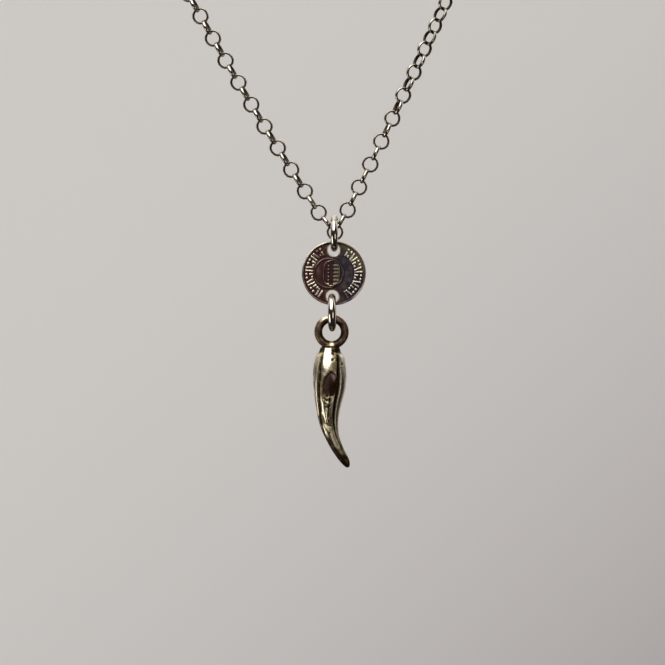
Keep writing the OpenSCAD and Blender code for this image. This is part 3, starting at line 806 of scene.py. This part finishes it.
hornLook = {
    # plain lengths are in mm, drops go down from the ring's middle, and angles are in degrees
    # from the right by way of the front
    "ringZ": -126.451 * mm,
    "ringDiameter": 5.25,
    "ringWire": 1.22,
    "sections": [
        # drop, shift, half width, half depth, groove depth
        (1.75, 0, 1.25, 0.46, 0), (2.3, -0.14, 1.47, 0.85, 0), (3.05, -0.16, 1.66, 1.15, 0.02),
        (3.86, -0.13, 2.2, 1.65, 0.12), (5.61, -0.13, 2.51, 2.05, 0.26), (7.36, -0.1, 2.57, 2.15, 0.3),
        (9.11, -0.09, 2.38, 2.05, 0.3), (10.85, -0.18, 2.04, 1.8, 0.28), (12.6, -0.18, 1.68, 1.5, 0.24),
        (14.36, 0.03, 1.4, 1.2, 0.14), (16.11, 0.56, 1.13, 0.95, 0.06), (17.86, 1.41, 0.98, 0.8, 0.02),
        (18.73, 1.96, 0.93, 0.72, 0), (19.6, 2.49, 0.79, 0.6, 0), (20.3, 2.86, 0.48, 0.4, 0),
        (20.6, 2.99, 0.18, 0.15, 0),
    ],
    # two numbers are a middle and a half width, or where a change begins and ends;
    # four are where a mark begins, is full, fades and is gone
    "frontHollow": {
        # drop, its right edge and its left edge as angles
        "edges": [(5.9, 86, 88), (6.2, 74, 95), (6.5, 64, 102), (7.1, 59, 112), (7.6, 58, 118),
                  (8.4, 59, 124), (9.1, 61, 125), (9.7, 64, 123), (10.9, 70, 114)],
        "drops": (5.9, 6.2, 9.2, 10.9), "slope": 7, "depth": 0.26, "tarnish": 0.78,
        "violetSheenAngles": (73, 16), "violetSheenDrops": (6.9, 0.9), "violetSheenTakes": 0.25,
        "blackAngles": (74, 28), "blackDrops": (8.4, 1.8), "blackAdds": 0.3,
    },
    "besideHollow": {"angles": (127, 17), "drops": (5.0, 6.0, 9.4, 10.2), "tarnish": 0.68},
    "backHollow": {"angle": 271, "half": 24, "top": 6.3, "length": 3.3, "slope": 10, "depth": 0.18,
                   "tarnish": 0.7},
    "neck": {"crease": (2.3, 0.22), "creaseDepth": 0.2, "creaseTarnish": 0.9,
             "drops": (1.9, 2.3, 3.0, 3.6), "bright": (78, 88, 116, 126), "tarnish": 0.85},
    "brow": {
        "middle": 101, "halfWidths": ((2.5, 4.4, 6.0), (19, 18, 1)),  # drops, and the half width there
        "drops": (2.5, 3.0, 5.9, 6.3), "highlightEdge": (-4, 1), "darkEdge": (0, 5), "dark": (100, 44),
        "tarnish": 0.62,
    },
    "fold": {"start": 106, "slope": 20, "fades": (140, 170), "drops": (10.3, 11.0, 13.8, 14.6),
             "depth": 0.13},
    "flanks": {"right": (12, 42), "left": (162, 24), "drops": (3.3, 4.0, 11.0, 12.5), "rub": 0.5},
    "step": {
        # where the folds end: angles, and the drop there; the rest is measured from that line
        "line": ((60, 68, 83, 100, 115, 125), (14.5, 14.4, 14.33, 14.26, 13.9, 13.7)),
        "angles": (58, 72, 116, 130), "above": (-2.2, -0.1), "below": 0.9, "depth": 0.3,
        "flat": (78, 24), "flatFrom": (0.1, 0.7), "flatDrops": (17.2, 18.0), "flatDepth": 0.12,
        "dark": (90, 42), "darkFades": (100, 112), "darkLine": (-0.05, 0.2), "darkTarnish": 0.8,
        "bulgeAngles": (64, 70, 120, 128), "bulge": (0.8, 1.0), "bulgeTarnish": 0.2,
    },
    "tip": {
        # the edge between its light facet and its dark side: drops, and the angle there
        "facet": ((14.4, 15.6, 16.3, 17.0, 17.85, 18.56, 19.26), (136, 126, 112, 105, 97, 89, 78)),
        "facetEdge": (-5, 5), "lowerFades": (185, 210), "lowerDrops": (15.0, 16.4),
        "lowerShade": 0.9, "lowerShadeTint": 0.15,
        "rightFades": (52, 62), "rightDrops": (15.6, 17.0), "rightTarnish": 0.7,
        "ends": [(0.55, 17.2, 17.9), (0.4, 18.3, 19.2)],  # tarnish, and the drops where it sets in
    },
    "ring": {
        # across the wire, from -1 at the hole to 1 outside
        "inner": (-0.7, 0.0), "outer": (0.1, 0.5),
        "fades": (2.0, 2.5), "tarnish": 0.8, "innerShadeAdds": 0.2, "highlightTakes": 0.85, "patina": 0.5,
        "rubs": [(118, 30), (272, 15)],  # bearings of the painted highlights: at the top, and above the neck
    },
    "rubbedBelow": 0.25,  # only tarnish thinner than this rubs bright
    "grooves": [
        # drops, the groove's angles there, half width in degrees, depth share, how black
        ((3, 6.5, 8.5, 10.5, 12.4, 14.2, 16.6), (55, 57, 58, 60, 58, 56, 51), 11, 1.2, 1.0),
        ((3, 7.4, 9.5, 11.7, 13.1, 16), (128, 130, 136, 139, 147, 150), 13, 1.1, 0.66),
        ((3, 20), (236, 236), 13, 1.0, 0.95),
        ((3, 20), (307, 307), 13, 1.0, 0.95),
    ],
    "grooveCurve": 1.2,  # above 1 a groove's bottom is sharper
    "grooveEdge": (0.05, 0.6),
    "grooveFades": (0.01, 0.1),  # groove depth at which its black begins and is full
    "strokes": [
        # drops, angles, half width in degrees, cut in mm (raised below 0), tarnish (rubbed below 0)
        ((10.3, 11.4, 12.6, 14.0), (115, 117, 117, 114), 11, -0.03, -0.9),  # bright fold
        ((10.6, 11.6, 13.9), (92, 96, 97), 5, -0.05, -0.3),
        ((9.9, 12.0, 13.9), (71, 74, 76), 6, -0.06, -0.35),
        ((10.2, 12.4, 14.3), (85, 88, 91), 4.5, 0.13, 0.9),
        ((10.6, 12.6, 14.2), (105, 104, 102), 3.5, 0.06, 0.6),
        ((10.4, 12.0, 14.2), (81, 82, 83), 3, 0.03, 0.3),
        ((8.2, 10.5, 14.3), (37, 38, 34), 6, 0.1, 0.9),
        ((4.9, 7.2), (22, 16), 4, 0.05, 0.6),
        ((5.2, 7.9), (149, 151), 4, 0.07, 0.8),
        ((9.4, 11.0), (163, 160), 4, 0.07, 0.8),
        ((9.6, 11.0), (148, 149), 4, 0.07, 0.8),
        ((11.4, 12.2, 13.2, 16.0), (136, 134, 134, 150), 13, 0.02, 0.85),
        ((12.5, 14.2, 17.0), (160, 155, 160), 28, 0.0, 0.8),
        ((14.1, 15.2, 16.6), (56, 55, 53), 8, 0.0, 0.7),
        ((9.7, 10.3, 10.9), (98, 96, 95), 7, 0.05, 0.8),
        ((8.9, 9.8, 10.7), (88, 86, 85), 8, 0.04, 0.9),
        ((9.2, 10.3), (69, 71), 5, 0.03, 0.7),
        ((9.4, 10.4), (112, 110), 5, -0.05, -0.6),
        ((4.6, 6.9), (163, 165), 5, 0.06, 0.9),
        ((7.4, 8.9), (158, 160), 4, 0.06, 0.9),
        ((6.3, 7.1, 7.6, 8.4, 9.6), (103, 114, 120, 126, 126), 3, -0.05, 0.0),  # lip of the hollow
        ((9.9, 14.0), (225, 222), 5, 0.08, 0.8),
        ((10.4, 13.8), (270, 268), 5, 0.12, 0.8),
        ((6.0, 9.0), (322, 320), 5, 0.07, 0.7),
    ],
    "strokeEnds": (-0.1, 0.5, -0.4, 0.1),  # from its first drop, and from its last
    "pits": [
        # drop, angle, size in mm, depth in mm
        (10.42, 85, 0.34, 0.12), (11.3, 86, 0.22, 0.1), (9.66, 76, 0.24, 0.1), (10.87, 105, 0.24, 0.09),
        (9.9, 98, 0.26, 0.09), (4.25, 79, 0.26, 0.12), (3.3, 74, 0.3, 0.1), (4.3, 62, 0.24, 0.1),
        (4.9, 40, 0.24, 0.08), (15.3, 98, 0.2, 0.05), (9.3, 262, 0.3, 0.1), (10.1, 281, 0.26, 0.1),
        (4.4, 250, 0.26, 0.1),
    ],
    "castPits": {"count": 16, "seed": 4, "drops": (9.3, 11.6), "angles": (76, 112), "sizes": (0.1, 0.26),
                 "depth": 0.09},
    "pitTarnish": 0.8,
    "stepsPerSection": 16,
    "sides": 200,
    "ringSteps": (144, 40),
    "voxel": 0.06 * mm,
    "softening": 4,
    "cornerRounds": 24,
    "cornerDepth": 0.07 * mm,
    "cornerShare": 0.4,
    "tarnishShare": 0.8,
}
hornTable = np.array(hornLook["sections"])


def hornSection(at):
    # a smooth curve through the sections
    last = len(hornTable) - 1
    i = np.minimum(last - 1, np.floor(at).astype(int))
    t = (at - i)[:, None]
    a, b = hornTable[np.maximum(0, i - 1)], hornTable[i]
    c, d = hornTable[i + 1], hornTable[np.minimum(last, i + 2)]
    return 0.5 * (2 * b + (c - a) * t + (2 * a - 5 * b + 4 * c - d) * t ** 2
                  + (3 * b - a - 3 * c + d) * t ** 3)


def scatteredPits(many):
    # casting pits of uneven size below the hollow
    chance = np.random.default_rng(many["seed"])
    return [(chance.uniform(*many["drops"]), chance.uniform(*many["angles"]),
             chance.uniform(*many["sizes"]), many["depth"]) for _ in range(many["count"])]


def darken(marks, amount):
    marks["dark"] = np.maximum(marks["dark"], amount)


def brighten(marks, amount):
    marks["clean"] = np.maximum(marks["clean"], amount)


def markGrooves(marks, drop, angle, section, look):
    # long grooves, short folds and creases, and casting pits
    width, depth, groove = section[..., 2], section[..., 3], section[..., 4]
    for drops, angles, half, share, black in look["grooves"]:
        v = np.clip(1 - np.abs(angle - np.interp(drop, drops, angles)) / half, 0, 1)
        marks["cut"] += groove * share * v ** look["grooveCurve"]
        darken(marks, black * ease(v, *look["grooveEdge"]) * ease(groove, *look["grooveFades"]))
    start, full, fading, end = look["strokeEnds"]
    for drops, angles, half, deep, tarnish in look["strokes"]:
        v = bump(angle, np.interp(drop, drops, angles), half) * between(
            drop, drops[0] + start, drops[0] + full, drops[-1] + fading, drops[-1] + end)
        marks["cut"] += deep * v
        darken(marks, tarnish * v)
        brighten(marks, -tarnish * v)
    for pitDrop, pitAngle, size, deep in look["pits"] + scatteredPits(look["castPits"]):
        apart = np.hypot(drop - pitDrop, np.radians(angle - pitAngle) * (width + depth) / 2) / size
        v = np.clip(1 - apart ** 2, 0, 1)
        marks["cut"] += deep * v
        darken(marks, v * look["pitTarnish"])


def markHollows(marks, drop, angle, look):
    # the pointed hollow in front, red brown on its left, a painted violet sheen and then black on its
    # right
    front = look["frontHollow"]
    edges = np.array(front["edges"])
    rightEdge = np.interp(drop, edges[:, 0], edges[:, 1])
    leftEdge = np.interp(drop, edges[:, 0], edges[:, 2])
    inside = ease(np.minimum(angle - rightEdge, leftEdge - angle), 0, front["slope"])
    inside = inside * between(drop, *front["drops"])
    marks["cut"] += front["depth"] * inside
    violetSheen = bump(angle, *front["violetSheenAngles"]) * bump(drop, *front["violetSheenDrops"])
    black = bump(angle, *front["blackAngles"]) * bump(drop, *front["blackDrops"]) ** 0.5
    darken(marks, inside * (front["tarnish"] + front["blackAdds"] * black - front["violetSheenTakes"] * violetSheen))
    marks["patina"] = inside * (0.5 + 0.5 * violetSheen - 0.5 * black)
    # a plainer hollow behind
    back = look["backHollow"]
    along = np.clip((drop - back["top"]) / back["length"], 0, 1)
    half = back["half"] * np.sin(np.pi * along)
    behind = ease(half - np.abs(angle - back["angle"]), 0, back["slope"])
    marks["cut"] += back["depth"] * behind
    darken(marks, back["tarnish"] * behind)
    # gold brown to the left of the front hollow
    beside = look["besideHollow"]
    darken(marks, beside["tarnish"] * (1 - inside) * bump(angle, *beside["angles"])
           * between(drop, *beside["drops"]))


def markNeck(marks, drop, angle, look):
    # a crease under the ring, and a neck that is dark on either side of its bright front
    neck = look["neck"]
    crease = bump(drop, *neck["crease"])
    marks["cut"] += neck["creaseDepth"] * crease
    darken(marks, neck["creaseTarnish"] * crease)
    darken(marks, neck["tarnish"] * between(drop, *neck["drops"]) * (1 - between(angle, *neck["bright"])))
    # a painted highlight above the hollow, down to its point, and gold brown on both sides of it, partly
    # tarnish and partly painted shade
    brow = look["brow"]
    off = np.abs(angle - brow["middle"]) - np.interp(drop, *brow["halfWidths"])
    above = between(drop, *brow["drops"])
    brighten(marks, (1 - ease(off, *brow["highlightEdge"])) * above)
    darken(marks, brow["tarnish"] * ease(off, *brow["darkEdge"])
           * bump(angle, *brow["dark"]) ** 0.5 * above)


def markFold(marks, drop, angle, look):
    # the fold under the hollow turns its bright side to the left, and both flanks are rubbed
    fold, flanks = look["fold"], look["flanks"]
    leaning = np.clip((angle - fold["start"]) / fold["slope"], 0, 1) * (1 - ease(angle, *fold["fades"]))
    marks["cut"] += fold["depth"] * leaning * between(drop, *fold["drops"])
    lobes = bump((angle + 180) % 360 - 180, *flanks["right"]) + bump(angle, *flanks["left"])
    brighten(marks, flanks["rub"] * lobes * between(drop, *flanks["drops"]))


def markStep(marks, drop, angle, look):
    # a curved step, under it a bulge that catches the light, and a flat that faces to the right
    step = look["step"]
    past = drop - np.interp(angle, *step["line"])
    marks["cut"] += step["depth"] * between(angle, *step["angles"]) * (
        ease(past, *step["above"]) - np.clip(past / step["below"], 0, 1))
    marks["cut"] += step["flatDepth"] * bump(angle, *step["flat"]) * (
        ease(past, *step["flatFrom"]) * (1 - ease(drop, *step["flatDrops"])))
    darken(marks, step["darkTarnish"] * bump(angle, *step["dark"]) * bump(past, *step["darkLine"])
           * (1 - ease(angle, *step["darkFades"])))
    darken(marks, step["bulgeTarnish"] * between(angle, *step["bulgeAngles"]) * bump(past, *step["bulge"]))


def markTip(marks, drop, angle, look):
    # painted shade on the side that hangs down, one light facet, black at the end
    tip = look["tip"]
    off = angle - np.interp(drop, *tip["facet"])
    lower = ease(off, *tip["facetEdge"]) * (1 - ease(angle, *tip["lowerFades"]))
    lower = lower * ease(drop, *tip["lowerDrops"])
    darken(marks, tip["lowerShade"] * lower)
    darken(marks, tip["rightTarnish"] * (1 - ease(angle, *tip["rightFades"]))
           * ease(drop, *tip["rightDrops"]))
    darken(marks, sum(amount * ease(drop, begin, full) for amount, begin, full in tip["ends"]))
    marks["patina"] = np.maximum(marks["patina"], tip["lowerShadeTint"] * lower)


def hornRelief(drop, angle, section, look):
    # inward cut in mm, tarnish from -1 to 1 that also holds painted highlights and painted shade, and
    # patina from olive black by red brown to violet
    marks = {name: np.zeros_like(drop) for name in ("cut", "dark", "clean")}
    markGrooves(marks, drop, angle, section, look)
    for mark in (markHollows, markNeck, markFold, markStep, markTip):
        mark(marks, drop, angle, look)
    dark, most = marks["dark"], look["rubbedBelow"]
    tarnish = np.where(dark > most, dark, dark - marks["clean"] * (1 - dark / most))
    return marks["cut"], tarnish, marks["patina"]


def hornBody(look):
    last, sides = len(hornTable) - 1, look["sides"]
    at = np.linspace(0, last, last * look["stepsPerSection"] + 1)
    angles = np.arange(sides) * 360 / sides
    section = np.repeat(hornSection(at)[:, None, :], len(angles), axis=1)
    angle = np.broadcast_to(angles, section.shape[:2])
    cut = hornRelief(section[..., 0], angle, section, look)[0]
    turn = np.radians(angle)
    points = np.stack([
        section[..., 1] + (section[..., 2] - cut) * np.cos(turn),
        -(section[..., 3] - cut) * np.sin(turn),
        -section[..., 0]], axis=-1).reshape(-1, 3) * mm
    rows = len(at)
    faces = [(r * sides + k, (r + 1) * sides + k,
              (r + 1) * sides + (k + 1) % sides, r * sides + (k + 1) % sides)
             for r in range(rows - 1) for k in range(sides)]
    faces.append(tuple(range(sides)))
    faces.append(tuple(range(rows * sides - 1, (rows - 1) * sides - 1, -1)))
    mesh = bpy.data.meshes.new("horn body")
    mesh.from_pydata(points.tolist(), [], faces)
    return mesh


def ringBody(diameter, wire, steps, around):
    # the cast ring at the top of the horn, in the XZ plane
    bend = (diameter - wire) / 2
    points = [((bend + wire / 2 * math.cos(b)) * math.cos(a) * mm, wire / 2 * math.sin(b) * mm,
               (bend + wire / 2 * math.cos(b)) * math.sin(a) * mm)
              for a in np.linspace(0, 2 * math.pi, steps, endpoint=False)
              for b in np.linspace(0, 2 * math.pi, around, endpoint=False)]
    faces = [(i * around + j, i * around + (j + 1) % around,
              (i + 1) % steps * around + (j + 1) % around, (i + 1) % steps * around + j)
             for i in range(steps) for j in range(around)]
    mesh = bpy.data.meshes.new("horn ring")
    mesh.from_pydata(points, [], faces)
    return mesh


def makeHorn(look):
    parts = [hornBody(look), ringBody(look["ringDiameter"], look["ringWire"], *look["ringSteps"])]
    for part in parts:
        welded(part, faceOutwards=True)
    horn = remeshed("hornCharm", parts, look["voxel"])
    softened(horn.data, look["softening"])
    points = meshPoints(horn.data).astype(float) / mm
    table = hornSection(np.linspace(0, len(hornTable) - 1, 600))
    drop = np.clip(-points[:, 2], table[0, 0], table[-1, 0])
    section = np.stack([np.interp(drop, table[:, 0], table[:, i]) for i in range(5)], axis=1)
    angle = np.degrees(np.arctan2(-points[:, 1] / section[:, 3],
                                  (points[:, 0] - section[:, 1]) / section[:, 2])) % 360
    _, tarnish, patina = hornRelief(drop, angle, section, look)
    # the ring is brown, darkest on the side towards its hole, partly tarnish and partly painted shade,
    # with painted highlights at its top and above the neck
    bend, wire = (look["ringDiameter"] - look["ringWire"]) / 2, look["ringWire"]
    ring = look["ring"]
    across = (np.hypot(points[:, 0], points[:, 2]) - bend) / (wire / 2)
    inner = 1 - ease(across, *ring["inner"])
    onRing = 1 - ease(-points[:, 2], *ring["fades"])
    bearing = np.degrees(np.arctan2(points[:, 2], points[:, 0])) % 360
    top, neck = [bump(bearing, middle, half) for middle, half in ring["rubs"]]
    paintedToneMask = top * ease(across, *ring["outer"]) + neck
    ringTarnish = ring["tarnish"] + ring["innerShadeAdds"] * inner - ring["highlightTakes"] * paintedToneMask
    tarnish = tarnish * (1 - onRing) + ringTarnish * onRing
    patina = np.maximum(patina, ring["patina"] * onRing * (1 - inner))
    tarnishAndShade = recessOf(horn.data, look["cornerRounds"], look["cornerDepth"])
    keepValue(horn.data, "tarnishAndShade", np.clip(
        tarnishAndShade * look["cornerShare"] + tarnish * look["tarnishShare"], -1, 1))
    keepValue(horn.data, "patina", patina)
    horn.data.transform(Matrix.Translation((plumbX, plumbY, look["ringZ"])))
    finishPiece(horn, "horn_charm", "horn", hornSilver)


makeHorn(hornLook)
